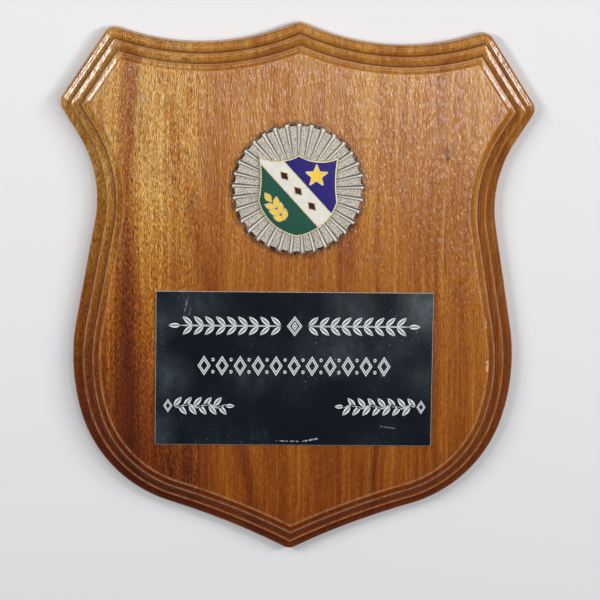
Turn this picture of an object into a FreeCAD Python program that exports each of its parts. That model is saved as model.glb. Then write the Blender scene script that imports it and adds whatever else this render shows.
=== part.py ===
import FreeCAD, Part
import math
import os
from FreeCAD import Vector

# A wall-hung presentation plaque: a shield of solid walnut with a routed edge of three coves,
# a cast sunburst medallion that carries an enamelled crest, and an engraved metal plate.
# Every piece is modelled lying on its back, with x to the right, y towards the top of the
# plaque and z out of the wall. stand_up() turns the pieces upright at the end.
# All lengths are millimetres and all angles are degrees.

# Shield outline, given for its right half before the corners are rounded
board_thickness = 19.0
peak_height = 112.6
horn_half_width = 79.3
horn_height = 110.0
top_arc_radius = 102.9
waist_half_width = 84.1
waist_height = 35.8
ear_overhang = 16.6
ear_rise = 41.5
shoulder_angle = 32.0
hip_overhang = 9.3
hip_fall = 65.8
hip_radius = 87.1
hip_angle = 16.6
heel_radius = 57.3
heel_angle = 73.2
toe_radius = 317.0
corner_round = 5.2

# Routed edge, from the rim to the face: coves with eased arrises between them
rim_ease = 1.5
outer_cove_width = 2.7
outer_cove_rise = 5.2
middle_cove_width = 3.7
middle_cove_rise = 3.4
inner_cove_width = 2.8
inner_cove_rise = 0.9
arris_ease = 0.3
back_edge_ease = 0.8

# Keyhole slot in the back, with the head room behind its neck
keyhole_up = 72.0
keyhole_entry_radius = 4.75
keyhole_depth = 9.5
keyhole_neck_width = 4.8
keyhole_lip = 5.0
keyhole_travel = 14.0

# Sunburst medallion
medallion_up = 43.7
disc_radius = 26.5
disc_thickness = 1.4
ray_count = 33
ray_reach = 27.5
ray_inner_radius = 9.0
ray_half_angle = 2.1
ray_sink = 0.2
ray_flats = 4
ray_turn = 0.0
disc_tape_radius = 23.5
disc_tape_thickness = 0.8

# Enamelled crest on the medallion
crest_half_width = 16.7
crest_peak = 14.5
crest_tip = 19.8
crest_thickness = 1.9
crest_clearance = 0.1
crest_border = 0.5
cell_wall = 0.4
cell_depth = 0.8
enamel_drop = 0.12
bend_width = 7.4
bend_turn = -47.0
bend_up = -0.6
star_radius = 4.5
star_right = 7.6
star_up = 5.9
lozenge_count = 3
lozenge_length = 4.6
lozenge_width = 3.0
lozenge_pitch = 8.6
leaf_length = 4.2
leaf_width = 1.9
leaf_pairs = 3
sprig_right = -5.6
sprig_up = -12.6
sprig_pitch = 3.1
sprig_turn = 127.0

# Engraved plate
plate_width = 117.0
plate_height = 65.8
plate_thickness = 0.8
plate_down = 33.0
plate_corner_round = 0.4
plate_turn = 0.35
plate_tape_thickness = 0.4
plate_tape_inset = 2.5

# Shares of a piece's own size
crest_corner_up_share = 0.94
crest_top_dip_share = 0.825
crest_waist_share = 0.946
crest_hip_share = 0.995
crest_hip_down_share = 0.25
crest_heel_share = 0.62
crest_heel_down_share = 0.755
star_inner_share = 0.42
leaf_splay_share = 0.62
leaf_shoulder_share = 0.36

overrun = 1.0
star_points = 5
leaf_angle = 38.0
UP = Vector(0, 0, 1)
ORIGIN = Vector(0, 0, 0)


def turned(vector, degrees):
    """A flat vector turned anticlockwise about z."""
    angle = math.radians(degrees)
    return Vector(
        vector.x * math.cos(angle) - vector.y * math.sin(angle),
        vector.x * math.sin(angle) + vector.y * math.cos(angle),
        0,
    )


def step_along(start, end, distance):
    """The point at a distance from start on the way to end."""
    return start + (end - start).normalize() * distance


def right_hand(start, end):
    """The unit vector to the right of the way from start to end, which is into the board."""
    way = (end - start).normalize()
    return Vector(way.y, -way.x, 0)


def polygon_face(points):
    return Part.Face(Part.makePolygon(points + [points[0]]))


def line(start, end):
    return {"kind": "line", "start": start, "end": end}


def arc(centre, radius, start, end, bulges):
    piece = {"kind": "arc", "centre": centre, "radius": radius, "bulges": bulges}
    return piece | {"start": start, "end": end}


def arc_centre(start, end, radius):
    """Centre of the arc through two points that sags towards the board from above."""
    half = (end - start) * 0.5
    rise = math.sqrt(radius ** 2 - half.Length ** 2)
    return start + half - right_hand(start, end) * rise


def crossing_tangent(upper, upper_radius, lower, lower_radius):
    """The touching points of the straight line that passes between two circles."""
    reach = lower - upper
    turn = math.degrees(math.acos((upper_radius + lower_radius) / reach.Length))
    side = turned(reach.normalize(), -turn)
    return upper + side * upper_radius, lower - side * lower_radius


def lines_meeting(first, first_way, second, second_way):
    """The point where two lines, each given by a point and a direction, cross."""
    gap = second - first
    span = first_way.x * second_way.y - first_way.y * second_way.x
    along = (gap.x * second_way.y - gap.y * second_way.x) / span
    return first + first_way * along


def shield_half():
    """The right half of the outline as tangent lines and arcs, from the peak to the tip."""
    peak = Vector(0, peak_height, 0)
    horn = Vector(horn_half_width, horn_height, 0)
    ear = Vector(waist_half_width + ear_overhang, waist_height + ear_rise, 0)
    top = arc_centre(peak, horn, top_arc_radius)
    hip = Vector(waist_half_width + hip_overhang - hip_radius, waist_height - hip_fall, 0)

    # The peak is rounded on the centre line, against the concave top arc
    near_top = top_arc_radius + corner_round
    peak_centre = Vector(0, top.y - math.sqrt(near_top ** 2 - top.x ** 2), 0)
    peak_top = peak_centre + Vector(0, corner_round, 0)
    peak_end = step_along(peak_centre, top, corner_round)

    # The horn is rounded between the top arc and the straight edge that runs down to the ear
    edge_in = right_hand(horn, ear)
    edge_way = (ear - horn).normalize()
    base = horn + edge_in * corner_round
    along = (base - top).dot(edge_way)
    across = (base - top).dot(edge_in)
    horn_centre = base + edge_way * (math.sqrt(near_top ** 2 - across ** 2) - along)
    horn_start = step_along(horn_centre, top, corner_round)
    horn_end = horn_centre - edge_in * corner_round

    # The shoulder line and the waist's upright tangent meet at a knee, as far from the one
    # touching point of the waist arc as from the other
    knee = Vector(waist_half_width, ear.y - ear_overhang / math.tan(math.radians(shoulder_angle)), 0)
    waist_radius = (knee.y - waist_height) / math.tan(math.radians(shoulder_angle / 2))
    waist = Vector(waist_half_width + waist_radius, waist_height, 0)
    shoulder_way = (knee - ear).normalize()
    shoulder_end = knee - shoulder_way * (knee.y - waist_height)
    shoulder_in = right_hand(ear, knee)

    # The ear is rounded between the straight edge and the shoulder line
    ear_centre = lines_meeting(
        ear + edge_in * corner_round,
        edge_way,
        ear + shoulder_in * corner_round,
        shoulder_way,
    )
    ear_start = ear_centre - edge_in * corner_round
    ear_end = ear_centre - shoulder_in * corner_round

    # The flank is the straight run between the waist and the hip
    flank_start, flank_end = crossing_tangent(waist, waist_radius, hip, hip_radius)

    # The heel carries the hip round into the concave toe, which runs to the tip
    hip_out = turned(Vector(1, 0, 0), -hip_angle)
    heel = hip + hip_out * (hip_radius - heel_radius)
    heel_out = turned(Vector(1, 0, 0), -heel_angle)
    heel_start = heel + hip_out * heel_radius
    heel_end = heel + heel_out * heel_radius
    toe = heel_end + heel_out * toe_radius
    near_toe = toe_radius + corner_round
    tip_centre = Vector(0, toe.y + math.sqrt(near_toe ** 2 - toe.x ** 2), 0)
    tip_start = step_along(tip_centre, toe, corner_round)
    tip_end = tip_centre - Vector(0, corner_round, 0)

    return [
        arc(peak_centre, corner_round, peak_top, peak_end, True),
        arc(top, top_arc_radius, peak_end, horn_start, False),
        arc(horn_centre, corner_round, horn_start, horn_end, True),
        line(horn_end, ear_start),
        arc(ear_centre, corner_round, ear_start, ear_end, True),
        line(ear_end, shoulder_end),
        arc(waist, waist_radius, shoulder_end, flank_start, False),
        line(flank_start, flank_end),
        arc(hip, hip_radius, flank_end, heel_start, True),
        arc(heel, heel_radius, heel_start, heel_end, True),
        arc(toe, toe_radius, heel_end, tip_start, False),
        arc(tip_centre, corner_round, tip_start, tip_end, True),
    ]


def outline_edge(piece):
    if piece["kind"] == "line":
        return Part.LineSegment(piece["start"], piece["end"]).toShape()
    centre = piece["centre"]
    middle = (piece["start"] + piece["end"]) * 0.5
    return Part.Arc(piece["start"], step_along(centre, middle, piece["radius"]), piece["end"]).toShape()


def mirrored(shape):
    return shape.mirror(ORIGIN, Vector(1, 0, 0))


def shield_wire(pieces):
    right = [outline_edge(piece) for piece in pieces]
    left = [mirrored(edge) for edge in right]
    return Part.Wire(Part.__sortEdges__(right + left))


def coves():
    """The ease that leads into each cove, its width and its rise, from the rim to the face."""
    return [
        (rim_ease, outer_cove_width, outer_cove_rise),
        (arris_ease, middle_cove_width, middle_cove_rise),
        (arris_ease, inner_cove_width, inner_cove_rise),
    ]


def edge_width():
    """How far the routed edge reaches in from the rim."""
    return sum(ease + width for ease, width, rise in coves())


def edge_profile(place):
    """The waste that the router takes from the edge, as a face across the outline.

    place(distance, height) gives the point in space. Each cove leaves its floor level and
    curves up. A cove that rises more than its width goes on upright. The rim and the arris
    between two coves are eased at 45 degrees.
    """
    top = board_thickness + overrun
    foot = board_thickness - sum(ease + rise for ease, width, rise in coves())
    outside = (-overrun, foot)
    point = (0, foot)
    edges = [Part.LineSegment(place(*outside), place(*point)).toShape()]
    for ease, width, rise in coves():
        curved = min(width, rise)
        radius = (width ** 2 + curved ** 2) / (2 * curved)
        lean = math.atan2(curved, width)
        floor = (point[0] + ease, point[1] + ease)
        middle = (floor[0] + radius * math.sin(lean), floor[1] + radius * (1 - math.cos(lean)))
        end = (floor[0] + width, floor[1] + curved)
        edges.append(Part.LineSegment(place(*point), place(*floor)).toShape())
        edges.append(Part.Arc(place(*floor), place(*middle), place(*end)).toShape())
        point = (end[0], floor[1] + rise)
        if rise > width:
            edges.append(Part.LineSegment(place(*end), place(*point)).toShape())
    corners = [point, (point[0], top), (-overrun, top), outside]
    for first, last in zip(corners, corners[1:]):
        edges.append(Part.LineSegment(place(*first), place(*last)).toShape())
    return Part.Face(Part.Wire(edges))


def edge_cutter(piece):
    """The waste along one stretch of the outline."""
    if piece["kind"] == "line":
        inward = right_hand(piece["start"], piece["end"])
        face = edge_profile(lambda distance, height: piece["start"] + inward * distance + UP * height)
        return face.extrude(piece["end"] - piece["start"])
    centre = piece["centre"]
    sign = 1 if piece["bulges"] else -1
    inward = (centre - piece["start"]).normalize() * sign
    face = edge_profile(lambda distance, height: piece["start"] + inward * distance + UP * height)
    if piece["bulges"] and piece["radius"] < edge_width():
        # A small corner keeps only the waste outside its own centre
        outer = piece["start"] - inward * overrun
        high = UP * 2 * board_thickness
        inner_side = face.common(polygon_face([outer, centre, centre + high, outer + high]))
        face = inner_side.Faces[0]
    first = piece["start"] - centre
    last = piece["end"] - centre
    turn = math.degrees(math.atan2(first.x * last.y - first.y * last.x, first.dot(last)))
    return face.revolve(centre, UP, turn)


def slot(half_width, low, high):
    """A round-ended slot that runs up from the keyhole's entry, between two depths."""
    foot = Vector(0, keyhole_up, low)
    head = foot + Vector(0, keyhole_travel, 0)
    side = Vector(half_width, 0, 0)
    end = Vector(0, half_width, 0)
    edges = [
        Part.LineSegment(foot + side, head + side).toShape(),
        Part.Arc(head + side, head + end, head - side).toShape(),
        Part.LineSegment(head - side, foot - side).toShape(),
        Part.Arc(foot - side, foot - end, foot + side).toShape(),
    ]
    return Part.Face(Part.Wire(edges)).extrude(UP * (high - low))


def keyhole():
    """The round entry, the neck that the screw slides up and the wider room for its head."""
    entry = Part.makeCylinder(keyhole_entry_radius, keyhole_lip + overrun, Vector(0, keyhole_up, -overrun))
    neck = slot(keyhole_neck_width / 2, -overrun, keyhole_lip)
    head = slot(keyhole_entry_radius, keyhole_lip, keyhole_depth)
    return [entry, neck, head]


def walnut_board():
    """The board, routed on its right half, mirrored and joined, with the keyhole in its back."""
    pieces = shield_half()
    board = Part.Face(shield_wire(pieces)).extrude(UP * board_thickness)
    back_edges = [edge for edge in board.Edges if edge.BoundBox.ZMax < back_edge_ease / 2]
    board = board.makeChamfer(back_edge_ease, back_edges)
    span = 4 * peak_height
    right_side = Part.makeBox(span, span, span, Vector(0, -span / 2, -span / 2))
    half = board.common(right_side)
    for piece in pieces:
        half = half.cut(edge_cutter(piece))
    board = half.fuse(mirrored(half)).removeSplitter()
    for cutter in keyhole():
        board = board.cut(cutter)
    return board


def seated(solid, seat):
    """A flat piece moved up the plaque and out of the wall to its seat."""
    moved = solid.copy()
    moved.translate(seat)
    return moved


def medallion_tape():
    return Part.makeCylinder(disc_tape_radius, disc_tape_thickness)


def crest_wire():
    """The crest's outline: concave top arcs, slightly drawn-in sides and a pointed foot."""
    width = crest_half_width
    peak = Vector(0, crest_peak, 0)
    corner_up = crest_peak * crest_corner_up_share
    dip = Vector(width / 2, crest_peak * crest_top_dip_share, 0)
    corner = Vector(width, corner_up, 0)
    hip = Vector(width * crest_hip_share, -crest_tip * crest_hip_down_share, 0)
    waist = Vector(width * crest_waist_share, (corner_up + hip.y) / 2, 0)
    heel = Vector(width * crest_heel_share, -crest_tip * crest_heel_down_share, 0)
    tip = Vector(0, -crest_tip, 0)
    right = [
        Part.Arc(peak, dip, corner).toShape(),
        Part.Arc(corner, waist, hip).toShape(),
        Part.Arc(hip, heel, tip).toShape(),
    ]
    return Part.Wire(Part.__sortEdges__(right + [mirrored(edge) for edge in right]))


def ray_section(distance, base):
    """The corners of a ray across its length: upright sides under a crown of flats."""
    radius = distance * math.tan(math.radians(ray_half_angle))
    points = [Vector(radius, distance, 0)]
    for number in range(ray_flats + 1):
        angle = math.pi * number / ray_flats
        points.append(Vector(radius * math.cos(angle), distance, base + radius * math.sin(angle)))
    points.append(Vector(-radius, distance, 0))
    return points


def ray_solid(base):
    """One ray with flat faces, which all run towards the middle of the disc."""
    near = ray_section(ray_inner_radius, base)
    far = ray_section(ray_reach, base)
    faces = [polygon_face(near), polygon_face(far)]
    for first, last in zip(range(len(near)), list(range(1, len(near))) + [0]):
        faces.append(polygon_face([near[first], far[first], far[last], near[last]]))
    return Part.Solid(Part.Shell(faces))


def sunburst_disc():
    """A thin disc with raised rays that widen outwards and stand past its edge."""
    base = disc_thickness - ray_sink
    ray = ray_solid(base)
    rays = []
    for number in range(ray_count):
        copy = ray.copy()
        copy.rotate(ORIGIN, UP, ray_turn - number * 360 / ray_count)
        rays.append(copy)
    disc = Part.makeCylinder(disc_radius, disc_thickness).fuse(rays)
    seat = Part.Face(crest_wire().makeOffset2D(crest_clearance)).extrude(UP * crest_thickness)
    seat.translate(UP * disc_thickness)
    return disc.removeSplitter().cut(seat)


def star_face():
    points = []
    for number in range(2 * star_points):
        radius = star_radius * (star_inner_share if number % 2 else 1)
        points.append(turned(Vector(0, radius, 0), number * 180 / star_points))
    face = polygon_face(points)
    face.translate(Vector(star_right, star_up, 0))
    return face


def leaf_face():
    """A six-sided leaf, growing from the origin along y."""
    half = leaf_width / 2
    low = leaf_length * leaf_shoulder_share
    high = leaf_length * (1 - leaf_shoulder_share)
    right = [Vector(half, low, 0), Vector(half, high, 0)]
    left = [Vector(-half, high, 0), Vector(-half, low, 0)]
    return polygon_face([ORIGIN] + right + [Vector(0, leaf_length, 0)] + left)


def sprig_faces():
    """Leaves in pairs along a stem, with one more at its end."""
    leaves = []
    root = Vector(sprig_right, sprig_up, 0)
    way = turned(Vector(0, 1, 0), sprig_turn - 90)
    across = turned(way, -90)
    for pair in range(leaf_pairs):
        for side in (-1, 1):
            leaf = leaf_face()
            leaf.rotate(ORIGIN, UP, sprig_turn - 90 - side * leaf_angle)
            offset = across * side * cell_wall * leaf_splay_share
            leaf.translate(root + way * (pair * sprig_pitch) + offset)
            leaves.append(leaf)
    last = leaf_face()
    last.rotate(ORIGIN, UP, sprig_turn - 90)
    last.translate(root + way * (leaf_pairs * sprig_pitch))
    return leaves + [last]


def lozenge_faces():
    faces = []
    half_length = lozenge_length / 2
    half_width = lozenge_width / 2
    for number in range(lozenge_count):
        along = (number - (lozenge_count - 1) / 2) * lozenge_pitch
        points = [
            Vector(along - half_length, 0, 0),
            Vector(along, half_width, 0),
            Vector(along + half_length, 0, 0),
            Vector(along, -half_width, 0),
        ]
        faces.append(place_on_bend(polygon_face(points)))
    return faces


def place_on_bend(face):
    face.rotate(ORIGIN, UP, bend_turn)
    face.translate(Vector(0, bend_up, 0))
    return face


def grown(face):
    """A cell's outline moved out by one wall, so that metal is left round it."""
    return Part.Face(face.OuterWire.makeOffset2D(cell_wall))


def band(low, high):
    """A stripe of the crest that lies along the bend, between two distances from its middle."""
    reach = 2 * (crest_peak + crest_tip)
    low_side = [Vector(-reach, low, 0), Vector(reach, low, 0)]
    high_side = [Vector(reach, high, 0), Vector(-reach, high, 0)]
    return place_on_bend(polygon_face(low_side + high_side))


def crest_cells():
    """The flat outline of every enamel cell, by colour."""
    field = Part.Face(crest_wire().makeOffset2D(-crest_border))
    far = 2 * (crest_peak + crest_tip)
    half = bend_width / 2
    star = star_face()
    leaves = sprig_faces()
    lozenges = lozenge_faces()
    white = field.common(band(-half, half)).cut([grown(face) for face in lozenges])
    blue = field.common(band(half + cell_wall, far)).cut(grown(star))
    green = field.common(band(-far, -half - cell_wall)).cut([grown(face) for face in leaves])
    return {
        "enamel_blue": blue.Faces,
        "enamel_green": green.Faces,
        "enamel_white": white.Faces,
        "enamel_yellow": [star] + leaves,
        "enamel_brown": lozenges,
    }


def crest_badge(cells):
    """The struck crest with a pocket for each cell."""
    crest = Part.Face(crest_wire()).extrude(UP * crest_thickness)
    floor = crest_thickness - cell_depth
    pockets = []
    for faces in cells.values():
        for face in faces:
            pocket = face.extrude(UP * (cell_depth + overrun))
            pocket.translate(UP * floor)
            pockets.append(pocket)
    return crest.cut(pockets)


def enamel(faces):
    """One colour of enamel, filling its cells to just below the walls."""
    fills = []
    for face in faces:
        fill = face.extrude(UP * (cell_depth - enamel_drop))
        fill.translate(UP * (crest_thickness - cell_depth))
        fills.append(fill)
    return Part.makeCompound(fills)


def plate_block(inset, thickness, rounding):
    width = plate_width - 2 * inset
    height = plate_height - 2 * inset
    block = Part.makeBox(width, height, thickness, Vector(-width / 2, -height / 2, 0))
    if rounding:
        corners = [edge for edge in block.Edges if edge.BoundBox.ZLength > thickness / 2]
        block = block.makeFillet(rounding, corners)
    block.rotate(ORIGIN, UP, plate_turn)
    return block


def build():
    """Every piece in its seat, still lying on its back."""
    face = Vector(0, medallion_up, board_thickness)
    disc_seat = face + UP * disc_tape_thickness
    crest_seat = disc_seat + UP * disc_thickness
    cells = crest_cells()
    plate_seat = Vector(0, -plate_down, board_thickness)
    nodes = {
        "walnut_board": walnut_board(),
        "medallion_tape": seated(medallion_tape(), face),
        "sunburst_disc": seated(sunburst_disc(), disc_seat),
        "crest_badge": seated(crest_badge(cells), crest_seat),
        "plate_tape": seated(plate_block(plate_tape_inset, plate_tape_thickness, 0), plate_seat),
        "engraved_plate": seated(
            plate_block(0, plate_thickness, plate_corner_round),
            plate_seat + UP * plate_tape_thickness,
        ),
    }
    for name, faces in cells.items():
        nodes[name] = seated(enamel(faces), crest_seat)
    return nodes


def stand_up(shape):
    """Turn a piece upright, with its face towards -y and the keyhole's mouth at the origin."""
    turned_shape = shape.copy()
    turned_shape.translate(Vector(0, -keyhole_up, 0))
    turned_shape.rotate(ORIGIN, Vector(1, 0, 0), 90)
    return turned_shape


os.makedirs("parts", exist_ok=True)
for name, shape in build().items():
    solid = stand_up(shape)
    solid.exportStep("parts/" + name + ".step")
    print(name, "solids", len(solid.Solids), "faces", len(solid.Faces), "volume", round(solid.Volume, 1))
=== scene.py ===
import functools
import math
import bmesh
import bpy
import numpy as np
from mathutils import Matrix, Vector
from mathutils.geometry import tessellate_polygon


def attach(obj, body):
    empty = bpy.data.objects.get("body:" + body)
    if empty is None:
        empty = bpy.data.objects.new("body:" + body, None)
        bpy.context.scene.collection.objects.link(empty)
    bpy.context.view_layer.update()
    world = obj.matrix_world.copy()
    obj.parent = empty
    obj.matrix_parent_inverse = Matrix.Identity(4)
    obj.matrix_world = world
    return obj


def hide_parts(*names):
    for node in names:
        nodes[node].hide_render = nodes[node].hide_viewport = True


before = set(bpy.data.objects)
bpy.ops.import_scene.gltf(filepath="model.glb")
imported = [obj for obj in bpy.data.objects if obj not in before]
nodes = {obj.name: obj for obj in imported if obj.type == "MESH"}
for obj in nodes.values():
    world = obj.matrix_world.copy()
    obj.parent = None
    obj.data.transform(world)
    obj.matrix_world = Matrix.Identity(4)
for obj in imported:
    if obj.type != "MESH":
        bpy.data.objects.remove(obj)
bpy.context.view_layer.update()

scene = bpy.context.scene
scene.view_settings.view_transform = "Standard"

# Pieces are worked out lying on the back, in mm: x right, y up the plaque, z out of the wall
keyholeUp = 72.0


def toRow(points):
    # x stays, the height off the wall turns to -y, and the way up is measured from the keyhole
    p = np.asarray(points, float)
    return np.stack([p[..., 0], -p[..., 2], p[..., 1] - keyholeUp], -1) / 1000


def hexToLinear(code):
    # sRGB curve undone for each channel
    srgb = np.array([int(code[i:i + 2], 16) for i in (1, 3, 5)]) / 255
    linear = np.where(srgb <= 0.04045, srgb / 12.92, ((srgb + 0.055) / 1.055) ** 2.4)
    return (*linear.tolist(), 1.0)


def makePiece(name, vertices, faces, smoothAngle=30, mergeMm=0.0005, uv=None):
    # vertices in mm, faces as lists of corners; doubles are merged, then faces turned outwards
    mesh = bpy.data.meshes.new(name)
    mesh.from_pydata(toRow(vertices).reshape(-1, 3), [], faces)
    if uv is not None:
        corners = np.empty(len(mesh.loops), np.int32)
        mesh.loops.foreach_get("vertex_index", corners)
        mesh.uv_layers.new(name="worked").data.foreach_set("uv", uv[corners].ravel())
    mesh.validate()
    work = bmesh.new()
    work.from_mesh(mesh)
    bmesh.ops.remove_doubles(work, verts=work.verts, dist=mergeMm / 1000)
    bmesh.ops.dissolve_degenerate(work, edges=work.edges, dist=mergeMm / 2000)
    bmesh.ops.recalc_face_normals(work, faces=work.faces)
    work.to_mesh(mesh)
    work.free()
    mesh.shade_smooth()
    mesh.set_sharp_from_angle(angle=math.radians(smoothAngle))
    piece = bpy.data.objects.new(name, mesh)
    scene.collection.objects.link(piece)
    print(name, len(mesh.polygons), "faces")
    return piece


def standsFor(piece, node):
    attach(piece, "root")
    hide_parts(node)


def gridFaces(rows, columns, start=0):
    # quads between neighbouring rows of a grid whose columns run round in a ring
    i, j = np.meshgrid(np.arange(rows - 1), np.arange(columns), indexing="ij")
    k = (j + 1) % columns
    quads = np.stack([i * columns + j, i * columns + k, (i + 1) * columns + k, (i + 1) * columns + j], -1)
    return (quads.reshape(-1, 4) + start).tolist()


# Shield board: a routed edge carried round an outline of arcs and straight runs
board = {
    "thickness": 19.0, "peakHeight": 112.6, "hornHalfWidth": 79.3, "hornHeight": 110.0,
    "topArcRadius": 102.9, "waistHalfWidth": 84.1, "waistHeight": 35.8, "earOverhang": 16.6,
    "earRise": 41.5, "shoulderAngle": 32.0, "hipOverhang": 9.3, "hipFall": 65.8, "hipRadius": 87.1,
    "hipAngle": 16.6, "heelRadius": 57.3, "heelAngle": 73.2, "toeRadius": 317.0, "cornerRound": 5.2,
    "rimHeight": 8.9, "rimRound": 1.5, "coveWidths": (3.0, 4.0, 2.8), "coveRises": (5.5, 3.7, 0.9),
    "arrisRound": 0.3, "backEase": 0.8, "border": 0.9, "coveSteps": 12, "arrisReach": 0.42, "rimShade": 0.4,
}


def unit(v):
    return v / np.linalg.norm(v)


def rightHand(a, b):
    way = unit(b - a)
    return np.array([way[1], -way[0]])


def turn(v, degrees):
    a = math.radians(degrees)
    return np.array([v[0] * math.cos(a) - v[1] * math.sin(a), v[0] * math.sin(a) + v[1] * math.cos(a)])


def linesMeet(p, pWay, q, qWay):
    gap = q - p
    span = pWay[0] * qWay[1] - pWay[1] * qWay[0]
    return p + pWay * (gap[0] * qWay[1] - gap[1] * qWay[0]) / span


def shieldStations(b):
    # centres, touching points and directions that every inset ring of the outline shares
    s = {"peak": np.array([0, b["peakHeight"]]), "horn": np.array([b["hornHalfWidth"], b["hornHeight"]])}
    s["ear"] = np.array([b["waistHalfWidth"] + b["earOverhang"], b["waistHeight"] + b["earRise"]])
    half = (s["horn"] - s["peak"]) / 2
    rise = math.sqrt(b["topArcRadius"] ** 2 - half @ half)
    s["top"] = s["peak"] + half - rightHand(s["peak"], s["horn"]) * rise
    s["edgeIn"], s["edgeWay"] = rightHand(s["horn"], s["ear"]), unit(s["ear"] - s["horn"])
    kneeY = s["ear"][1] - b["earOverhang"] / math.tan(math.radians(b["shoulderAngle"]))
    knee = np.array([b["waistHalfWidth"], kneeY])
    s["waistRadius"] = (kneeY - b["waistHeight"]) / math.tan(math.radians(b["shoulderAngle"] / 2))
    s["waist"] = np.array([b["waistHalfWidth"] + s["waistRadius"], b["waistHeight"]])
    s["shoulderWay"], s["shoulderIn"] = unit(knee - s["ear"]), rightHand(s["ear"], knee)
    s["shoulderEnd"] = knee - s["shoulderWay"] * (kneeY - b["waistHeight"])
    hipX = b["waistHalfWidth"] + b["hipOverhang"] - b["hipRadius"]
    s["hip"] = np.array([hipX, b["waistHeight"] - b["hipFall"]])
    reach = s["hip"] - s["waist"]
    bend = math.degrees(math.acos((s["waistRadius"] + b["hipRadius"]) / np.linalg.norm(reach)))
    s["flankOut"] = -turn(unit(reach), -bend)
    right = np.array([1.0, 0])
    s["hipOut"], s["heelOut"] = turn(right, -b["hipAngle"]), turn(right, -b["heelAngle"])
    s["heel"] = s["hip"] + s["hipOut"] * (b["hipRadius"] - b["heelRadius"])
    s["toe"] = s["heel"] + s["heelOut"] * (b["heelRadius"] + b["toeRadius"])
    return s


def insetRing(b, s, d):
    # the outline moved in by d: convex arcs shrink, hollow arcs grow, and a corner's round shrinks
    # to nothing at its mitre, where its neighbours meet
    m = max(d, b["cornerRound"])
    radius = b["topArcRadius"] + m
    peak = np.array([0, s["top"][1] - math.sqrt(radius ** 2 - s["top"][0] ** 2)])
    base = s["horn"] + s["edgeIn"] * m
    along, across = (base - s["top"]) @ s["edgeWay"], (base - s["top"]) @ s["edgeIn"]
    horn = base + s["edgeWay"] * (math.sqrt(radius ** 2 - across ** 2) - along)
    edgeFrom, shoulderFrom = s["ear"] + s["edgeIn"] * m, s["ear"] + s["shoulderIn"] * m
    ear = linesMeet(edgeFrom, s["edgeWay"], shoulderFrom, s["shoulderWay"])
    tip = np.array([0, s["toe"][1] + math.sqrt((b["toeRadius"] + m) ** 2 - s["toe"][0] ** 2)])
    left = b["cornerRound"] - min(d, b["cornerRound"])

    def sweep(centre, radius, first, last, count):
        # points of an arc between two directions, turning the short way
        a, z = math.atan2(first[1], first[0]), math.atan2(last[1], last[0])
        z += 2 * math.pi * round((a - z) / (2 * math.pi))
        t = a + (z - a) * np.arange(count) / count
        return centre + radius * np.stack([np.cos(t), np.sin(t)], -1)

    def run(first, last, count):
        return first + (last - first) * (np.arange(count) / count)[:, None]

    moved = d - m
    hornEnd, earStart = horn + s["edgeIn"] * moved, ear + s["edgeIn"] * moved
    earEnd, shoulderEnd = ear + s["shoulderIn"] * moved, s["shoulderEnd"] + s["shoulderIn"] * d
    flankStart = s["waist"] + (s["waistRadius"] + d) * -s["flankOut"]
    flankEnd = s["hip"] + (b["hipRadius"] - d) * s["flankOut"]
    top, toe = s["top"], s["toe"]
    # from the peak down the right side to the tip, the last number is how many points a stretch has
    parts = [
        sweep(peak, left, np.array([0, 1.0]), unit(top - peak), 6),
        sweep(top, b["topArcRadius"] + d, peak - top, horn - top, 44),
        sweep(horn, left, top - horn, -s["edgeIn"], 12),
        run(hornEnd, earStart, 8),
        sweep(ear, left, -s["edgeIn"], -s["shoulderIn"], 12),
        run(earEnd, shoulderEnd, 6),
        sweep(s["waist"], s["waistRadius"] + d, s["shoulderIn"], -s["flankOut"], 26),
        run(flankStart, flankEnd, 4),
        sweep(s["hip"], b["hipRadius"] - d, s["flankOut"], s["hipOut"], 16),
        sweep(s["heel"], b["heelRadius"] - d, s["hipOut"], s["heelOut"], 34),
        sweep(toe, b["toeRadius"] + d, -s["heelOut"], tip - toe, 34),
        sweep(tip, left, toe - tip, np.array([0, -1.0]), 6),
    ]
    lowest = tip - np.array([0, left])
    right = np.concatenate(parts + [lowest[None]])
    return np.concatenate([right, right[-2:0:-1] * [-1, 1]])


def routedProfile(b):
    # distance in from the rim and height off the wall, from the back round to the face: a rounded
    # rim, then hollows that leave level, curve up and go on upright where they rise more than
    # they reach, each ending in an arris that turns back to level; a level border at each end
    # keeps the curves out of the shading of the flat back and face
    e, r = b["backEase"], b["rimRound"]
    points = [(e + b["border"], 0.0), (e, 0.0), (e * 0.45, e * 0.12), (e * 0.12, e * 0.45), (0, e)]
    a = np.linspace(0, math.pi / 2, 9)
    points += list(zip(r * (1 - np.cos(a)), b["rimHeight"] - r + r * np.sin(a)))
    x, z = points[-1]
    for width, rise in zip(b["coveWidths"], b["coveRises"]):
        lean = math.pi / 2
        for _ in range(6):
            w = width - b["arrisRound"] * math.sin(lean)
            h = rise - b["arrisRound"] * (1 - math.cos(lean))
            curved = min(w, h)
            big = (w * w + curved * curved) / (2 * curved)
            lean = 2 * math.atan2(curved, w)
        a = np.linspace(0, lean, b["coveSteps"])
        points += list(zip(x + big * np.sin(a), z + big * (1 - np.cos(a))))[1:]
        if h > w:
            points.append((x + w, z + h))
        a = np.linspace(lean, 0, 5)[1:]
        x, z = x + width, z + rise
        points += list(zip(x - b["arrisRound"] * np.sin(a), z - b["arrisRound"] * (1 - np.cos(a))))
    return np.array(points + [(x + b["border"], z)])


# Keyhole in the back: a round mouth, a neck over it, and room for the screw's head behind the lip
keyhole = {"radius": 4.75, "neckHalfWidth": 2.4, "travel": 14.0, "lip": 5.0, "depth": 9.5}


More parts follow.
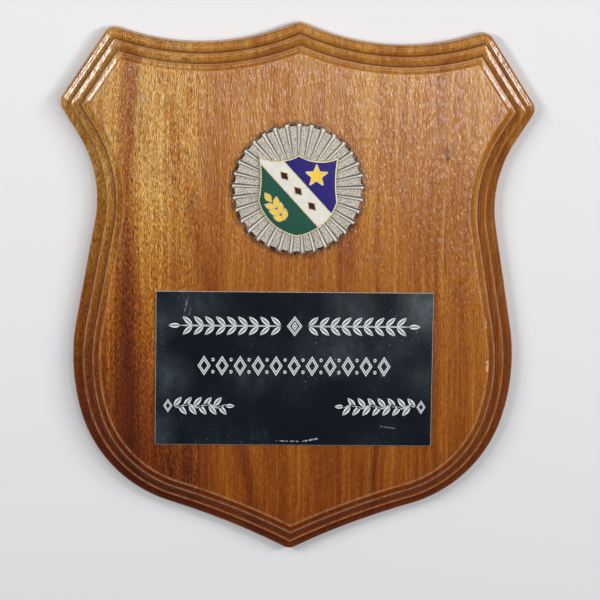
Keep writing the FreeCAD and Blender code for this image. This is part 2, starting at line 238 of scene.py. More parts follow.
def keyholeShell(k, outerRing):
    # the back with the mouth cut in it, the mouth's wall, the lip, and the room with its wall: the
    # mouth is a circle, open where the neck's sides meet it, with a half circle over the neck, and
    # the room is a slot as wide as that circle
    r, n = k["radius"], k["neckHalfWidth"]
    y0, y1 = keyholeUp, keyholeUp + k["travel"]
    meet = math.asin(n / r)

    def arc(radius, y, first, last, count):
        a = np.linspace(first, last, count)
        return np.stack([radius * np.cos(a), y + radius * np.sin(a)], -1)

    circle = arc(r, y0, math.pi / 2 - meet, -1.5 * math.pi + meet, 41)
    crown = arc(n, y1, math.pi, 0, 17)
    mouth = np.concatenate([circle, crown])
    head, foot = arc(r, y1, 0, math.pi, 25), arc(r, y0, math.pi, 2 * math.pi, 25)
    room = np.concatenate([head, foot])
    upper = circle[circle[:, 1] >= y0 - 1e-9]
    rightArc = upper[upper[:, 0] > 0][::-1]
    leftArc = upper[upper[:, 0] < 0][::-1]
    lipEdge = np.concatenate([rightArc, crown[::-1], leftArc])[::-1]
    ledge = np.concatenate([head, lipEdge])

    vertices, faces = [], []

    def cap(loops, z):
        start = sum(len(v) for v in vertices)
        flat = np.concatenate(loops)
        vertices.append(np.c_[flat, np.full(len(flat), z)])
        for t in tessellate_polygon([[Vector((*p, 0)) for p in loop] for loop in loops]):
            faces.append([start + i for i in t])

    def wall(loop, low, high):
        start = sum(len(v) for v in vertices)
        vertices.extend(np.c_[loop, np.full(len(loop), z)] for z in (low, high))
        faces.extend(gridFaces(2, len(loop), start=start))

    cap([outerRing, mouth], 0.0)
    wall(mouth, 0.0, k["lip"])
    cap([ledge], k["lip"])
    wall(room, k["lip"], k["depth"])
    cap([room], k["depth"])
    return np.concatenate(vertices), faces


def arrisAndSteepness(b, profile):
    # for each point of the profile: how near it is to an arris, and how steeply the surface stands,
    # which counts for less on the rim; the first places a painted highlight on the arrises, the second
    # a painted shade and a thinner coat in the steep cuts
    place = np.array([b["rimRound"], b["rimHeight"]])
    near = np.zeros(len(profile))
    for width, rise in zip(b["coveWidths"], b["coveRises"]):
        place = place + [width, rise]
        gap = np.hypot(*(profile - place).T)
        near = np.maximum(near, np.exp(-(gap / b["arrisReach"]) ** 2))
    way = np.gradient(profile, axis=0)
    steep = np.abs(way[:, 1]) / np.hypot(*way.T)
    return near, np.where(profile[:, 0] < b["rimRound"] - 0.01, b["rimShade"] * steep, steep)


def makeBoard(b, k):
    # each point of the profile runs round on the outline moved in by its distance from the rim, and
    # the innermost rings are closed by the face and by the back with its keyhole
    stations, profile = shieldStations(b), routedProfile(b)
    rings = [insetRing(b, stations, d) for d in profile[:, 0]]
    columns = len(rings[0])
    grid = np.concatenate([np.c_[ring, np.full(columns, z)] for ring, z in zip(rings, profile[:, 1])])
    inner = rings[-1]
    face = inner[np.r_[True, np.linalg.norm(np.diff(inner, axis=0), axis=1) > 1e-4]]
    faceTriangles = tessellate_polygon([[Vector((*p, 0)) for p in face]])
    back, backFaces = keyholeShell(k, rings[0])
    vertices = np.concatenate([grid, np.c_[face, np.full(len(face), b["thickness"])], back])
    faces = gridFaces(len(rings), columns)
    for corners, start in ((faceTriangles, len(grid)), (backFaces, len(grid) + len(face))):
        faces += [[start + i for i in f] for f in corners]
    arrisAndSteep = np.zeros((len(vertices), 2))
    arrisAndSteep[:len(grid)] = np.repeat(np.stack(arrisAndSteepness(b, profile), -1), columns, axis=0)
    return makePiece("walnut_shield", vertices, faces, smoothAngle=28, mergeMm=0.002, uv=arrisAndSteep)


shield = makeBoard(board, keyhole)
standsFor(shield, "walnut_board")

# Cast medallion: rays with hollow tops between stippled flats, trimmed round the crest
sunburst = {
    "up": 43.7, "seat": 19.8, "flat": 21.2, "discRadius": 26.5, "reach": 27.5, "rays": 33, "halfAngle": 2.1,
    "sink": 0.2, "ease": 0.12, "clearance": 0.1, "radialSteps": 8, "flatSteps": 5, "flare": 1.22,
    # across half a ray: place from its middle to its side, height as a share of its half width
    "crown": [
        (0.0, 0.66), (0.3, 0.68), (0.52, 0.76), (0.66, 0.9),
        (0.78, 0.96), (0.9, 0.86), (0.97, 0.6), (1.0, 0.2),
    ],
}
crestEdge = {
    "halfWidth": 16.7, "peak": 14.5, "tip": 19.8,
    # shares of those three, for the points that the edge's arcs run through
    "cornerUp": 0.94, "topDip": 0.825, "waist": 0.946, "hip": 0.995, "hipDown": 0.25,
    "heel": 0.62, "heelDown": 0.755,
}


def arcThrough(a, b, c, count=40):
    # points of the circle through three points: its middle is where their bisectors cross
    (ax, ay), (bx, by), (cx, cy) = a, b, c
    d = 2 * (ax * (by - cy) + bx * (cy - ay) + cx * (ay - by))
    squares = [ax * ax + ay * ay, bx * bx + by * by, cx * cx + cy * cy]
    x = (squares[0] * (by - cy) + squares[1] * (cy - ay) + squares[2] * (ay - by)) / d
    y = (squares[0] * (cx - bx) + squares[1] * (ax - cx) + squares[2] * (bx - ax)) / d
    first, middle, last = (math.atan2(q - y, p - x) for p, q in (a, b, c))
    middle = first + math.remainder(middle - first, 2 * math.pi)
    last = middle + math.remainder(last - middle, 2 * math.pi)
    t = np.linspace(first, last, count)
    radius = math.hypot(ax - x, ay - y)
    return np.stack([x + radius * np.cos(t), y + radius * np.sin(t)], -1)


def crestOutline(c):
    # an arc over the top to the corner, one down the hollow side and one round to the tip, mirrored
    w, peak, tip = c["halfWidth"], c["peak"], c["tip"]
    corner, hip = (w, peak * c["cornerUp"]), (w * c["hip"], -tip * c["hipDown"])
    waist = (w * c["waist"], (corner[1] + hip[1]) / 2)
    right = np.concatenate([
        arcThrough((0, peak), (w / 2, peak * c["topDip"]), corner), arcThrough(corner, waist, hip)[1:],
        arcThrough(hip, (w * c["heel"], -tip * c["heelDown"]), (0, -tip))[1:],
    ])
    return np.concatenate([right, right[-2:0:-1] * [-1, 1]])


def makeSunburst(s, c):
    # a disc worked out in rings and spokes: height over the wall is the flat's, or on a ray the
    # ray's root plus its half width, which grows with the radius, times the crown's share
    pitch = 360 / s["rays"]
    u, share = (np.array(v) for v in zip(*s["crown"]))
    rayU, rayShare = np.r_[-u[:0:-1], u], np.r_[share[:0:-1], share]
    flats = s["halfAngle"] + (pitch - 2 * s["halfAngle"]) * np.arange(s["flatSteps"]) / s["flatSteps"]
    offset = np.r_[-s["halfAngle"], rayU * s["halfAngle"], flats]
    share = np.r_[0, rayShare, np.zeros(len(flats))]
    isRay = np.r_[False, np.ones(len(rayU), bool), np.zeros(len(flats), bool)]
    angle = np.radians((np.arange(s["rays"])[:, None] * pitch + offset).ravel())
    share, isRay = np.tile(share, s["rays"]), np.tile(isRay, s["rays"])
    crest = crestOutline(c)
    around = np.arctan2(crest[:, 0], crest[:, 1])
    order = np.argsort(around)
    inner = np.interp(angle, around[order], np.hypot(*crest.T)[order], period=2 * math.pi) + s["clearance"]
    end = np.where(isRay, s["reach"], s["discRadius"])

    def top(radius):
        halfWidth = radius * math.tan(math.radians(s["halfAngle"]))
        raised = s["flat"] - s["sink"] + halfWidth * share
        return np.where(isRay, np.maximum(raised, s["flat"]), s["flat"])

    level, still = np.full(len(angle), s["flat"]), np.ones(len(angle))
    rows = [(0 * still, level, still), (inner, level, still)]
    for k in np.linspace(0, 1, s["radialSteps"]):
        radius = inner + (s["discRadius"] - 2 * s["ease"] - inner) * k
        rows.append((radius, top(radius), still))
    flared = still * s["flare"]
    for a in np.radians((0, 45, 90)):
        rows.append((end - s["ease"] * (1 - math.sin(a)), top(end) - s["ease"] * (1 - math.cos(a)), flared))
    rows += [(end, still * s["seat"], flared), (end * 0, still * s["seat"], flared)]
    radius, height, widened = (np.array(v) for v in zip(*rows))
    # a ray's end is a little wider than its length, and pushes the flats' first points aside
    aside = np.tile(np.radians(offset), s["rays"])
    moves = np.abs(aside) <= math.radians(s["halfAngle"]) + 1e-9
    spoke = angle + aside * moves * (widened - 1)
    grid = np.stack([radius * np.sin(spoke), s["up"] + radius * np.cos(spoke), height], -1)
    faces = gridFaces(len(rows), len(angle))
    return makePiece("sunburst_medallion", grid.reshape(-1, 3), faces, smoothAngle=32)


medallion = makeSunburst(sunburst, crestEdge)
standsFor(medallion, "sunburst_disc")

# Plate: a sheared sheet with a fine bevel
plate = {
    "width": 117.0, "height": 65.8, "thickness": 0.8, "down": 33.0, "turn": 0.35, "seat": 19.4,
    "corner": 0.4, "bevel": 0.24,
}


def onPlate(p, points, z):
    # plate coordinates, turned and moved to where the plate is stuck
    a = math.radians(p["turn"])
    x, y = points[..., 0], points[..., 1]
    turned = [x * math.cos(a) - y * math.sin(a), x * math.sin(a) + y * math.cos(a) - p["down"]]
    return np.stack([*turned, z + 0 * x], -1)


def makePlate(p):
    # the same rounded rectangle at the foot, at the bevel's start and, moved in, at its end
    quarter = np.radians(np.linspace(0, 90, 6))
    a = np.concatenate([quarter + math.radians(90 * k) for k in range(4)])
    sides = np.repeat([(1, 1), (-1, 1), (-1, -1), (1, -1)], len(quarter), axis=0)
    rings, heights = [], (0.0, p["thickness"] - p["bevel"], p["thickness"])
    for inset, z in zip((0, 0, p["bevel"]), heights):
        middle = sides * (np.array([p["width"], p["height"]]) / 2 - p["corner"])
        ring = middle + (p["corner"] - inset) * np.stack([np.cos(a), np.sin(a)], -1)
        rings.append(onPlate(p, ring, p["seat"] + z))
    n = len(a)
    faces = gridFaces(3, n) + [list(range(n)), list(range(2 * n, 3 * n))]
    return makePiece("plate_sheared", np.concatenate(rings), faces)


# Ornament engraved in the plate: a garland either way from the middle, a chain, and two sprays
engraving = {
    "rows": (18.3, 1.2, -16.1), "proud": 0.03, "sunk": 0.05, "stemHalfWidth": 0.3,
    # places across a stroke: from edge to edge of its top, and back underneath
    "across": (-1, -0.5, 0, 0.5, 1, 1, -1),
    # how far a stem stays short of its end, and how much of its length has no leaves at its sides
    "stemShort": 3.0, "leafless": 9.0,
    "garlandStem": 5.2, "garlandLeaves": 6.0, "garlandReach": 52.5, "garlandPitch": 4.65, "leafOff": 0.35,
    # leaves: lean in degrees, length, half width
    "garlandLeaf": (42.0, 5.3, 1.0), "sprayLeaf": (50.0, 4.9, 1.05),
    # the leaf at a stem's tip: how far back it starts, length, half width
    "garlandTip": (4.2, 4.8, 1.0), "sprayTip": (3.4, 3.6, 0.85),
    # lozenges: half width, half height, line as a share of them
    "lozenge": (2.7, 4.25, 0.46), "middleLozenges": [(3.24, 4.25, 0.36), (1.215, 1.9125, 0.98)],
    "sprayLozenge": (1.9, 2.9, 0.5),
    # the chain of lozenges, and the dots above and below its gaps
    "chainCount": 11, "chainPitch": 7.6, "dot": 0.75, "dotAside": 2.6,
    # sprays: from, to, leaves on each side, and the way in which they grow
    "sprays": [(-55.3, -25.2, 5, 1), (17.6, 56.2, 7, -1)],
    # how far from its root a spray's lozenge, stem and first leaves are, and how far its stem waves
    "sprayLozengeAt": 2.2, "sprayStem": 4.6, "sprayLeaves": 4.8, "sprayWave": 0.7,
}


def ribbon(path, half, across):
    # a stroke: at each point of its path, the places across it times its half width, square to it
    way = np.gradient(path, axis=0)
    way /= np.linalg.norm(way, axis=1)[:, None]
    side = np.stack([way[:, 1], -way[:, 0]], -1)
    return path[:, None] + side[:, None] * (half[:, None] * across)[..., None]


def makeOrnament(p, e):
    # strokes whose tops stand a little proud of the plate, with edges that turn down into it
    surface = p["seat"] + p["thickness"]
    z = [surface + e["proud"]] * 5 + [surface - e["sunk"]] * 2
    across = np.array(e["across"])
    vertices, faces, uv = [], [], []
    eased = (1 - np.cos(np.linspace(0, math.pi, 13))) / 2

    def add(grid, closed=False):
        if closed:
            grid = np.concatenate([grid, grid[:1]])
        start = sum(len(v) for v in vertices)
        lines = [onPlate(p, grid[:, k], z[k]) for k in range(len(z))]
        vertices.append(np.stack(lines, 1).reshape(-1, 3))
        faces.extend(gridFaces(len(grid), len(z), start=start))
        along = np.linspace(0, 1, len(grid))[:, None]
        uv.append(np.stack(np.broadcast_arrays(along, across), -1).reshape(-1, 2))

    def leaf(root, degrees, length, halfWidth, mirror=1):
        # width follows a sine along the leaf, fullest before the middle
        tip = np.array([math.cos(math.radians(degrees)), math.sin(math.radians(degrees))]) * length
        path = (np.array(root) + eased[:, None] * tip) * [mirror, 1]
        add(ribbon(path, halfWidth * np.sin(math.pi * eased ** 0.85) ** 0.8, across))

    def stem(x, y):
        # the same width all along, but drawn in to nothing at both ends
        share = np.linspace(0, 1, len(x))
        halfWidth = e["stemHalfWidth"] * np.minimum(1, 12 * np.minimum(share, 1 - share))
        add(ribbon(np.stack([x, y + 0 * x], -1), halfWidth, across))

    def lozenge(x, y, wide, high, thick):
        corners = np.array([(wide, 0), (0, high), (-wide, 0), (0, -high)])
        shares = 1 - thick * (1 - across) / 2
        add(np.array([x, y]) + corners[:, None] * shares[None, :, None], closed=True)

    high, middle, low = e["rows"]
    reach, pitch = e["garlandReach"], e["garlandPitch"]
    lean, *size = e["garlandLeaf"]
    back, *tipSize = e["garlandTip"]
    for mirror in (1, -1):
        stem(np.linspace(e["garlandStem"], reach - e["stemShort"], 30) * mirror, high)
        for k in range(int((reach - e["leafless"]) / pitch)):
            for side in (1, -1):
                root = (e["garlandLeaves"] + k * pitch, high + e["leafOff"] * side)
                leaf(root, side * lean, *size, mirror)
        leaf((reach - back, high), 0, *tipSize, mirror)
    for shape in e["middleLozenges"]:
        lozenge(0, high, *shape)
    for k in range(e["chainCount"]):
        x = (k - (e["chainCount"] - 1) / 2) * e["chainPitch"]
        lozenge(x, middle, *e["lozenge"])
        for side in (1, -1):
            if k < e["chainCount"] - 1:
                dotX = x + e["chainPitch"] / 2 - e["dot"]
                leaf((dotX, middle + side * e["dotAside"]), 0, 2 * e["dot"], e["dot"])
    lean, *size = e["sprayLeaf"]
    back, *tipSize = e["sprayTip"]
    for first, last, count, way in e["sprays"]:
        # a waving stem with single leaves in turn above and below, a small lozenge at its root
        root, tip = (first, last) if way > 0 else (last, first)
        pitch = (abs(last - first) - e["leafless"]) / count
        x = np.linspace(root + e["sprayStem"] * way, tip - e["stemShort"] * way, 40)
        stem(x, low + e["sprayWave"] * np.sin(math.pi * (x - root) / pitch))
        lozenge(root + e["sprayLozengeAt"] * way, low, *e["sprayLozenge"])
        for k in range(count):
            for side, ahead in ((1, 0.0), (-1, 0.5)):
                leafX = root * way + e["sprayLeaves"] + (k + ahead) * pitch
                leaf((leafX, low), side * lean, *size, way)
        leaf((tip * way - back, low), 0, *tipSize, way)
    return makePiece("plate_ornament", np.concatenate(vertices), faces, smoothAngle=50, uv=np.concatenate(uv))


sheet = makePlate(plate)
standsFor(sheet, "engraved_plate")
ornament = makeOrnament(plate, engraving)
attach(ornament, "root")


def addNode(tree, kind, inputs=(), out=0, stops=(), **settings):
    # inputs by name or in their order; an input given another node's output is linked to it
    node = tree.nodes.new("ShaderNode" + kind)
    for key, value in settings.items():
        setattr(node, key, value)
    for key, value in inputs.items() if isinstance(inputs, dict) else enumerate(inputs):
        if isinstance(value, bpy.types.NodeSocket):
            tree.links.new(value, node.inputs[key])
        else:
            node.inputs[key].default_value = value
    for place, colour in stops[2:]:
        node.color_ramp.elements.new(place)
    for element, (place, colour) in zip(node.color_ramp.elements if stops else (), stops):
        element.position, element.color = place, hexToLinear(colour)
    return node.outputs[out] if len(node.outputs) else node


def newMaterial(name):
    material = bpy.data.materials.new(name)
    material.use_nodes = True
    material.node_tree.nodes.clear()
    return material, functools.partial(addNode, material.node_tree)


def inMillimetres(add, up):
    # place on the piece in mm, with the origin moved so far up
    return add("Mapping", {
        "Vector": add("TexCoord", out="Object"), "Scale": (1000, 1000, 1000), "Location": (0, 0, up),
    })


def awayFrom(add, source, x, y):
    # distance from a place, seen straight from the front
    gap = add("VectorMath", [source, (x, 0.0, y)], operation="SUBTRACT")
    gap = add("VectorMath", [gap, (1.0, 0.0, 1.0)], operation="MULTIPLY")
    return add("VectorMath", [gap], "Value", operation="LENGTH")


wood = {
    "tones": [
        (0.0, "#2E0F01"), (0.25, "#662A03"), (0.45, "#8C4709"),
        (0.65, "#B06A1A"), (0.85, "#CF963E"), (1.0, "#E6BC72"),
    ],
    # tints, some of them painted light: a highlight on the arrises, shade in the steep cuts and towards the
    # foot, and a shadow round the medallion
    "red": "#7A2C06", "pore": "#3E1802", "routed": "#641F08", "knot": "#1C0903",
    "arrisHighlight": "#C08C5C", "shaded": "#421603", "medallionShadow": "#1E0C04", "nick": "#D8AE84",
    # noises: width across the grain and length along it in mm, detail
    "wave": (45.0, 90.0, 2.0), "stain": (9.0, 80.0, 2.0), "fleck": (0.45, 1.7, 2.0),
    "dash": (0.33, 1.8, 1.0), "rubAndSheen": (1.5, 4.0, 2.0), "shadowBreakup": (2.0, 2.0, 2.0),
    "chip": (0.8, 1.3, 3.0), "ripple": (0.6, 2.8, 2.0), "coatBreaks": (0.48, 3.4, 1.0),
    # figure: the same, then its weight in the tone
    "layers": [(11.0, 420.0, 2.0, 0.3), (1.6, 380.0, 4.0, 0.44), (0.45, 24.0, 2.0, 0.36)],
    # how many mm the wave bends the figure and the rings, from its one extreme to the other
    "figureBend": 7.0, "ringBend": 5.0,
    # the foot's height, and for each width of wood another height and the tones at both; the tone
    # rising up the board is partly the wood's own and partly painted shade towards the foot
    "foot": -113.0, "rightTones": (112.0, 0.39, 0.75), "leftTones": (45.0, 0.04, 0.84),
    # the joint: its place, how much it leans, how far the pattern is moved beyond it, and where the
    # tones blend; its line is given as half width, soft edge and shift of the tone
    "jointX": -41.0, "jointLean": 0.016, "jointShift": (37.0, 21.0, 140.0),
    "jointBlend": (-5.0, 8.0), "jointLine": (0.05, 0.4, -0.1),
    # strength on the right and on the left of the joint
    "fleckWeights": (0.4, 0.9), "dashWeights": (0.3, 0.62),
    # growth rings that stand out: place, how much it leans, half width, shift of the tone
    "rings": [
        (-70.3, -0.014, 3.6, -0.34), (-37.0, -0.22, 2.6, -0.15), (-22.5, 0.0, 2.0, 0.06),
        (3.0, 0.0, 4.0, 0.06), (-50.0, 0.0, 7.0, 0.03), (19.6, 0.0, 0.8, -0.16),
        (35.2, 0.0, 1.0, -0.12), (60.5, 0.0, 1.0, -0.1), (78.0, 0.0, 7.0, 0.05),
    ],
    # upright patches: middle, half width, soft sides, foot, head, soft ends
    "knotPatch": (62.6, 0.2, 1.5, 57.7, 61.3, 3.0), "tailPatch": (62.5, 0.05, 0.5, 12.0, 56.0, 6.0),
    "tailStrength": 0.4,
    "nicks": [(80.7, 0.25, 0.3, -14.7, -11.1, 0.5), (81.8, 0.4, 0.3, -33.1, -28.9, 0.5)],
    # the middle of the painted shadow round the medallion; it and the chips stay in front of this depth
    "medallionShadowAt": (0.0, 43.2), "frontDepth": -5.0,
    # fades: two values of what is read (a height, depth or distance in mm, a noise, or how steep the
    # cut is), and what they turn into
    "fades": {
        "ringsUp": (0.0, 110.0, 1.0, 0.45), "stain": (0.45, 0.75, 0.0, 0.5),
        "dash": (0.52, 0.64, 0.0, 1.0), "knot": (0.3, 0.6, 0.35, 0.9),
        "offFace": (-18.97, -18.87, 0.0, 1.0), "shadeTowardsFoot": (-85.0, 0.0, 0.62, 0.2),
        "rubAndSheen": (0.35, 0.6, 0.3, 0.68), "highlightUp": (10.0, 60.0, 1.0, 0.65),
        "shade": (0.6, 0.95, 0.0, 0.5), "medallionShadow": (27.2, 30.0, 0.9, 0.0), "shadowBreakup": (0.3, 0.6, 0.0, 1.0),
        "chip": (0.46, 0.54, 0.0, 1.0), "rippleOffFace": (-18.97, -18.6, 1.0, 0.3),
        "coatBreaks": (0.42, 0.56, 0.3, 1.0), "coatSteep": (0.4, 0.95, 1.0, 0.4),
    },
    # depth of the pores and height of the lacquer's ripple in mm
    "poreDeep": 0.06, "rippleHigh": 0.14,
}


def walnutLacquered(w):
    # Black walnut, glued up from two widths, planed and routed, then stained and sprayed with
    # lacquer: warm brown figure running up the board, short dark pores, and a thin coat that
    # follows them, so its highlights break up into sparks; the routed edge took more stain, with
    # painted shade darkening it towards the foot; the arrises carry a painted highlight, the steep
    # cuts a painted shade, and a painted shadow rings the medallion
    material, add = newMaterial("walnut_lacquered")
    fade = w["fades"]
    mm = inMillimetres(add, keyholeUp)
    x = add("SeparateXYZ", [mm])
    depth, y = x.node.outputs[1], x.node.outputs[2]
    fromJoint = add("Math", [y, w["jointLean"], x], operation="MULTIPLY_ADD")
    left = add("Math", [fromJoint, w["jointX"]], operation="LESS_THAN")
    apart = add("VectorMath", [left, w["jointShift"], mm], operation="MULTIPLY_ADD")

    def fibres(across, along, detail, source, out="Fac"):
        # solid noise, stretched along the grain
        sized = add("Mapping", {"Vector": source, "Scale": (1 / across, 1 / across, 1 / along)})
        return add("TexNoise", {"Vector": sized, "Scale": 1.0, "Detail": detail}, out)

    wave = fibres(*w["wave"], apart, "Color")
    centred = add("VectorMath", [wave, (0.5, 0.5, 0.5)], operation="SUBTRACT")
    bend = (w["figureBend"], w["figureBend"], 0.0)
    grain = add("VectorMath", [centred, bend, apart], operation="MULTIPLY_ADD")
    across = add("Math", [add("SeparateXYZ", [centred]), w["ringBend"], x], operation="MULTIPLY_ADD")

    def besideLine(centre, lean, halfWidth, soft, source=across):
        # 1 on a line that runs up the board, fading out across it
        line = add("Math", [y, lean, centre], operation="MULTIPLY_ADD")
        gap = add("Math", [add("Math", [source, line], operation="SUBTRACT")], operation="ABSOLUTE")
        return add("MapRange", [gap, halfWidth, halfWidth + soft, 1.0, 0.0])

    def patch(middle, halfWidth, soft, low, high, ends):
        # 1 in an upright patch, fading out at its sides, over it and under it
        over = add("MapRange", [y, high, high + ends, 1.0, 0.0])
        between = add("Math", [add("MapRange", [y, low - ends, low]), over], operation="MULTIPLY")
        beside = besideLine(middle, 0.0, halfWidth, soft, x)
        return add("Math", [beside, between], operation="MULTIPLY")

    # darker towards the foot: partly the wood's own tone, partly painted shade
    rightTone = add("MapRange", [y, w["foot"], *w["rightTones"]])
    leftTone = add("MapRange", [y, w["foot"], *w["leftTones"]])
    blend = [w["jointX"] + reach for reach in w["jointBlend"]]
    leftSoft = add("MapRange", [fromJoint, *blend, 1.0, 0.0])
    tone = add("Mix", {0: leftSoft, 2: rightTone, 3: leftTone})
    figure = [(fibres(*noise, grain), weight) for *noise, weight in w["layers"]]
    fleck = fibres(*w["fleck"], grain)
    figure.append((fleck, add("MapRange", [left, 0.0, 1.0, *w["fleckWeights"]])))
    for fibre, weight in figure:
        above = add("Math", [fibre, 0.5], operation="SUBTRACT")
        tone = add("Math", [above, weight, tone], operation="MULTIPLY_ADD")
    fainter = add("MapRange", [y, *fade["ringsUp"]])
    for centre, lean, halfWidth, shift in w["rings"]:
        ring = besideLine(centre, lean, 0.1 * halfWidth, 1.6 * halfWidth)
        ring = add("Math", [ring, fainter], operation="MULTIPLY")
        tone = add("Math", [ring, shift, tone], operation="MULTIPLY_ADD")
    *line, shift = w["jointLine"]
    joint = besideLine(w["jointX"], -w["jointLean"], *line, x)
    tone = add("Math", [joint, shift, tone], operation="MULTIPLY_ADD")
    colour = add("ValToRGB", [tone], stops=w["tones"])

    redness = add("MapRange", [fibres(*w["stain"], grain), *fade["stain"]])
    dash = add("MapRange", [fibres(*w["dash"], grain), *fade["dash"]])
    dashWeight = add("MapRange", [leftSoft, 0.0, 1.0, *w["dashWeights"]])
    dash = add("Math", [dash, dashWeight], operation="MULTIPLY")
    speckle = add("MapRange", [fleck, *fade["knot"]])
    knot = add("Math", [patch(*w["knotPatch"]), speckle], operation="MULTIPLY")
    tail = add("Math", [patch(*w["tailPatch"]), w["tailStrength"]], operation="MULTIPLY")
    # the routed edge is stained darker, and more so towards the foot, where the extra darkening is painted
    # shade of the down-facing edges
    offFace = add("MapRange", [depth, *fade["offFace"]])
    routed = add("Math", [offFace, add("MapRange", [y, *fade["shadeTowardsFoot"]])], operation="MULTIPLY")
    worked = add("SeparateXYZ", [add("UVMap", uv_map="worked")])
    steep = worked.node.outputs[1]
    # pale lines along the arrises: a painted highlight, broken up by noise and weaker towards the top
    rubsAndSheen = add("MapRange", [fibres(*w["rubAndSheen"], mm), *fade["rubAndSheen"]])
    rubsAndSheen = add("Math", [rubsAndSheen, add("MapRange", [y, *fade["highlightUp"]])], operation="MULTIPLY")
    arrisHighlightMask = add("Math", [worked, rubsAndSheen], operation="MULTIPLY")
    # painted shade in the steep cuts of the moulding
    shaded = add("MapRange", [steep, *fade["shade"]])
    inFront = add("Math", [depth, w["frontDepth"]], operation="LESS_THAN")
    # painted shadow: a dark ring on the wood just round the medallion, broken up by noise
    near = add("MapRange", [awayFrom(add, mm, *w["medallionShadowAt"]), *fade["medallionShadow"]])
    shadowBreakup = add("MapRange", [fibres(*w["shadowBreakup"], mm), *fade["shadowBreakup"]])
    medallionShadow = add("Math", [near, shadowBreakup], operation="MULTIPLY")
    medallionShadow = add("Math", [medallionShadow, inFront], operation="MULTIPLY")
    chipped = add("MapRange", [fibres(*w["chip"], mm), *fade["chip"]])
    chipped = add("Math", [chipped, inFront], operation="MULTIPLY")
    nicks = [add("Math", [patch(*nick), chipped], operation="MULTIPLY") for nick in w["nicks"]]
    marks = [
        (redness, "red"), (routed, "routed"), (medallionShadow, "medallionShadow"), (dash, "pore"), (knot, "knot"),
        (tail, "knot"), (shaded, "shaded"), (arrisHighlightMask, "arrisHighlight"), *((nick, "nick") for nick in nicks),
    ]
    for mask, tint in marks:
        colour = add("Mix", {0: mask, 6: colour, 7: hexToLinear(w[tint])}, 2, data_type="RGBA")
    under = add("Bump", {"Strength": 0.5, "Distance": w["poreDeep"] / 1000, "Height": fleck})
    over = add("Bump", {
        "Strength": add("MapRange", [depth, *fade["rippleOffFace"]]), "Distance": w["rippleHigh"] / 1000,
        "Height": fibres(*w["ripple"], grain),
    })
    # pores drink the coat, which breaks a highlight up into dashes, and it is thin in steep cuts
    closed = add("MapRange", [fibres(*w["coatBreaks"], grain), *fade["coatBreaks"]])
    coat = add("Math", [closed, add("MapRange", [steep, *fade["coatSteep"]])], operation="MULTIPLY")
    add("OutputMaterial", [add("BsdfPrincipled", {
        # the wood under the coat hardly shines by itself, because lacquer fills it
        "Base Color": colour, "Roughness": 0.5, "IOR": 1.5, "Specular IOR Level": 0.05, "Normal": under,
        "Coat Weight": coat, "Coat Roughness": 0.16, "Coat IOR": 1.58, "Coat Normal": over,
    })])
    return material


casting = {
    "flat": "#B4ACA0", "dark": "#8C857A", "bright": "#D2CBC0", "ray": "#BEB8AE", "stippleMm": 0.38,
    # distance off the wall where flats turn into rays; roughness and height of the stipple on each
    "rayFromMm": (21.25, 21.5), "rough": (0.55, 0.48), "rise": (0.7, 0.08),
}


def silverCast(c):
    # White metal, cast and silver plated: the flats are stippled and sparkle, the rays are polished
    material, add = newMaterial("silver_plated_cast")
    place = add("TexCoord", out="Object")
    low, high = (-v / 1000 for v in c["rayFromMm"])
    onRay = add("MapRange", [add("SeparateXYZ", [place]).node.outputs[1], low, high])
    stipple = add("TexNoise", {"Vector": place, "Scale": 1000 / c["stippleMm"], "Detail": 1.5})
    flat = add("ValToRGB", [stipple], stops=[(0.4, c["dark"]), (0.5, c["flat"]), (0.62, c["bright"])])
    colour = add("Mix", {0: onRay, 6: flat, 7: hexToLinear(c["ray"])}, 2, data_type="RGBA")
    rough, rise = (add("MapRange", [onRay, 0.0, 1.0, *c[key]]) for key in ("rough", "rise"))
    bump = add("Bump", {"Strength": rise, "Distance": 0.00012, "Height": stipple})
    add("OutputMaterial", [add("BsdfPrincipled", {
        "Base Color": colour, "Metallic": 1.0, "Roughness": rough, "Normal": bump,
    })])
    return material


def gildingMetalBuffed():
    # Gilding metal, struck and buffed: thin pale walls between the enamels, softly bright in
    # patches of about 1.1 mm
    material, add = newMaterial("gilding_metal_buffed")
    buffed = add("TexNoise", {"Vector": add("TexCoord", out="Object"), "Scale": 900.0, "Detail": 2.0})
    rough = add("MapRange", [buffed, 0.0, 1.0, 0.22, 0.42])
    bump = add("Bump", {"Strength": 0.2, "Distance": 0.00003, "Height": buffed})
    add("OutputMaterial", [add("BsdfPrincipled", {
        "Base Color": hexToLinear("#C4B890"), "Metallic": 1.0, "Roughness": rough, "Normal": bump,
    })])
    return material


def hardEnamel(name, colour):
    # Vitreous enamel, fired in a cell and ground flush: deep clean colour under a wet gloss, with
    # clouds of about 4 mm
    material, add = newMaterial(name)
    cloud = add("TexNoise", {"Vector": add("TexCoord", out="Object"), "Scale": 260.0, "Detail": 2.0})
    strength = add("MapRange", [cloud, 0.0, 1.0, 0.85, 1.15])
    tint = add("VectorMath", {0: hexToLinear(colour)[:3], "Scale": strength}, operation="SCALE")
    bump = add("Bump", {"Strength": 0.2, "Distance": 0.00004, "Height": cloud})
    add("OutputMaterial", [add("BsdfPrincipled", {
        "Base Color": tint, "Roughness": 0.16, "IOR": 1.52, "Normal": bump,
    })])
    return material


def foamTape():
    # Closed-cell foam tape: dull and dark in the gap, with cells of 0.4 mm
    material, add = newMaterial("foam_tape_black")
    cells = add("TexVoronoi", {"Vector": add("TexCoord", out="Object"), "Scale": 2500.0})
    bump = add("Bump", {"Strength": 0.5, "Distance": 0.0001, "Height": cells})
    add("OutputMaterial", [add("BsdfPrincipled", {
        "Base Color": hexToLinear("#2A2A28"), "Roughness": 0.9, "Normal": bump,
    })])
    return material


